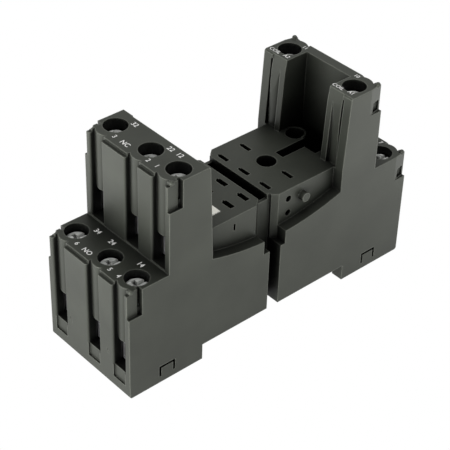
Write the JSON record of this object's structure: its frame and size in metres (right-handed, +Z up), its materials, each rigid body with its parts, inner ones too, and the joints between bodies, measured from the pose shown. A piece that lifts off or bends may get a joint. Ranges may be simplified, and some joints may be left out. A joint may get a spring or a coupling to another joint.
{
  "type": "relay socket",
  "caption": "Rail-mounted plug-in relay socket with stepped screw-clamp terminal towers at both ends of an open relay bay, and a sliding rail latch.",
  "frame": {"origin": "centre of the bounding box's bottom face, on the plane of the feet", "axes": "+X along the socket from the contact end to the coil end, +Y across it, +Z up from the feet towards the relay"},
  "size_m": [0.078, 0.0264, 0.0488],
  "materials": {
    "housing_plastic": "fine matt moulded texture, charcoal black",
    "cover_plastic": "fine matt moulded texture, charcoal black",
    "latch_plastic": "fine matt moulded texture, charcoal black",
    "insert_plastic": "smooth satin, off-white",
    "contact_brass": "stamped sheet, satin",
    "cage_steel": "zinc-plated sheet steel",
    "screw_steel": "zinc-plated, slightly dull"
  },
  "bodies": {
    "base": {"housing": "housing_plastic", "contact_end_cover": "cover_plastic", "coil_end_cover": "cover_plastic", "coding_insert": "insert_plastic", "contact_34": "contact_brass", "contact_24": "contact_brass", "contact_14": "contact_brass", "contact_32": "contact_brass", "contact_22": "contact_brass", "contact_12": "contact_brass", "contact_31": "contact_brass", "contact_21": "contact_brass", "contact_11": "contact_brass", "contact_A2": "contact_brass", "contact_A1": "contact_brass"},
    "rail_latch": {"rail_latch": "latch_plastic"},
    "screw_34": {"screw_34": "screw_steel"},
    "cage_34": {"cage_34": "cage_steel"},
    "screw_24": {"screw_24": "screw_steel"},
    "cage_24": {"cage_24": "cage_steel"},
    "screw_14": {"screw_14": "screw_steel"},
    "cage_14": {"cage_14": "cage_steel"},
    "screw_32": {"screw_32": "screw_steel"},
    "cage_32": {"cage_32": "cage_steel"},
    "screw_22": {"screw_22": "screw_steel"},
    "cage_22": {"cage_22": "cage_steel"},
    "screw_12": {"screw_12": "screw_steel"},
    "cage_12": {"cage_12": "cage_steel"},
    "screw_31": {"screw_31": "screw_steel"},
    "cage_31": {"cage_31": "cage_steel"},
    "screw_21": {"screw_21": "screw_steel"},
    "cage_21": {"cage_21": "cage_steel"},
    "screw_11": {"screw_11": "screw_steel"},
    "cage_11": {"cage_11": "cage_steel"},
    "screw_A2": {"screw_A2": "screw_steel"},
    "cage_A2": {"cage_A2": "cage_steel"},
    "screw_A1": {"screw_A1": "screw_steel"},
    "cage_A1": {"cage_A1": "cage_steel"}
  },
  "joints": [
    {"name": "latch_slide", "type": "slide", "parent": "base", "child": "rail_latch", "axis": [1, 0, 0], "range_m": [0, 0.0025], "stiffness_N_per_m": 2000},
    {"name": "turn_screw_34", "type": "hinge", "parent": "base", "child": "screw_34", "pos_m": [-0.0342, 0.00975, 0.0245], "axis": [0, 0, -1], "range_deg": [0, 3600]},
    {"name": "lift_cage_34", "type": "slide", "parent": "base", "child": "cage_34", "axis": [0, 0, 1], "range_m": [0, 0.005]},
    {"name": "turn_screw_24", "type": "hinge", "parent": "base", "child": "screw_24", "pos_m": [-0.0342, -0.0014, 0.0245], "axis": [0, 0, -1], "range_deg": [0, 3600]},
    {"name": "lift_cage_24", "type": "slide", "parent": "base", "child": "cage_24", "axis": [0, 0, 1], "range_m": [0, 0.005]},
    {"name": "turn_screw_14", "type": "hinge", "parent": "base", "child": "screw_14", "pos_m": [-0.0342, -0.00975, 0.0245], "axis": [0, 0, -1], "range_deg": [0, 3600]},
    {"name": "lift_cage_14", "type": "slide", "parent": "base", "child": "cage_14", "axis": [0, 0, 1], "range_m": [0, 0.005]},
    {"name": "turn_screw_32", "type": "hinge", "parent": "base", "child": "screw_32", "pos_m": [-0.0237, 0.00975, 0.045], "axis": [0, 0, -1], "range_deg": [0, 3600]},
    {"name": "lift_cage_32", "type": "slide", "parent": "base", "child": "cage_32", "axis": [0, 0, 1], "range_m": [0, 0.005]},
    {"name": "turn_screw_22", "type": "hinge", "parent": "base", "child": "screw_22", "pos_m": [-0.0237, -0.0014, 0.045], "axis": [0, 0, -1], "range_deg": [0, 3600]},
    {"name": "lift_cage_22", "type": "slide", "parent": "base", "child": "cage_22", "axis": [0, 0, 1], "range_m": [0, 0.005]},
    {"name": "turn_screw_12", "type": "hinge", "parent": "base", "child": "screw_12", "pos_m": [-0.0237, -0.00975, 0.045], "axis": [0, 0, -1], "range_deg": [0, 3600]},
    {"name": "lift_cage_12", "type": "slide", "parent": "base", "child": "cage_12", "axis": [0, 0, 1], "range_m": [0, 0.005]},
    {"name": "turn_screw_31", "type": "hinge", "parent": "base", "child": "screw_31", "pos_m": [0.0342, 0.00975, 0.0245], "axis": [0, 0, -1], "range_deg": [0, 3600]},
    {"name": "lift_cage_31", "type": "slide", "parent": "base", "child": "cage_31", "axis": [0, 0, 1], "range_m": [0, 0.005]},
    {"name": "turn_screw_21", "type": "hinge", "parent": "base", "child": "screw_21", "pos_m": [0.0342, -0.0014, 0.0245], "axis": [0, 0, -1], "range_deg": [0, 3600]},
    {"name": "lift_cage_21", "type": "slide", "parent": "base", "child": "cage_21", "axis": [0, 0, 1], "range_m": [0, 0.005]},
    {"name": "turn_screw_11", "type": "hinge", "parent": "base", "child": "screw_11", "pos_m": [0.0342, -0.00975, 0.0245], "axis": [0, 0, -1], "range_deg": [0, 3600]},
    {"name": "lift_cage_11", "type": "slide", "parent": "base", "child": "cage_11", "axis": [0, 0, 1], "range_m": [0, 0.005]},
    {"name": "turn_screw_A2", "type": "hinge", "parent": "base", "child": "screw_A2", "pos_m": [0.0237, 0.00975, 0.045], "axis": [0, 0, -1], "range_deg": [0, 3600]},
    {"name": "lift_cage_A2", "type": "slide", "parent": "base", "child": "cage_A2", "axis": [0, 0, 1], "range_m": [0, 0.005]},
    {"name": "turn_screw_A1", "type": "hinge", "parent": "base", "child": "screw_A1", "pos_m": [0.0237, -0.00975, 0.045], "axis": [0, 0, -1], "range_deg": [0, 3600]},
    {"name": "lift_cage_A1", "type": "slide", "parent": "base", "child": "cage_A1", "axis": [0, 0, 1], "range_m": [0, 0.005]}
  ],
  "couplings": [
    {"joint": "turn_screw_34", "follows": "lift_cage_34", "rad_per_m": 12566},
    {"joint": "turn_screw_24", "follows": "lift_cage_24", "rad_per_m": 12566},
    {"joint": "turn_screw_14", "follows": "lift_cage_14", "rad_per_m": 12566},
    {"joint": "turn_screw_32", "follows": "lift_cage_32", "rad_per_m": 12566},
    {"joint": "turn_screw_22", "follows": "lift_cage_22", "rad_per_m": 12566},
    {"joint": "turn_screw_12", "follows": "lift_cage_12", "rad_per_m": 12566},
    {"joint": "turn_screw_31", "follows": "lift_cage_31", "rad_per_m": 12566},
    {"joint": "turn_screw_21", "follows": "lift_cage_21", "rad_per_m": 12566},
    {"joint": "turn_screw_11", "follows": "lift_cage_11", "rad_per_m": 12566},
    {"joint": "turn_screw_A2", "follows": "lift_cage_A2", "rad_per_m": 12566},
    {"joint": "turn_screw_A1", "follows": "lift_cage_A1", "rad_per_m": 12566}
  ]
}
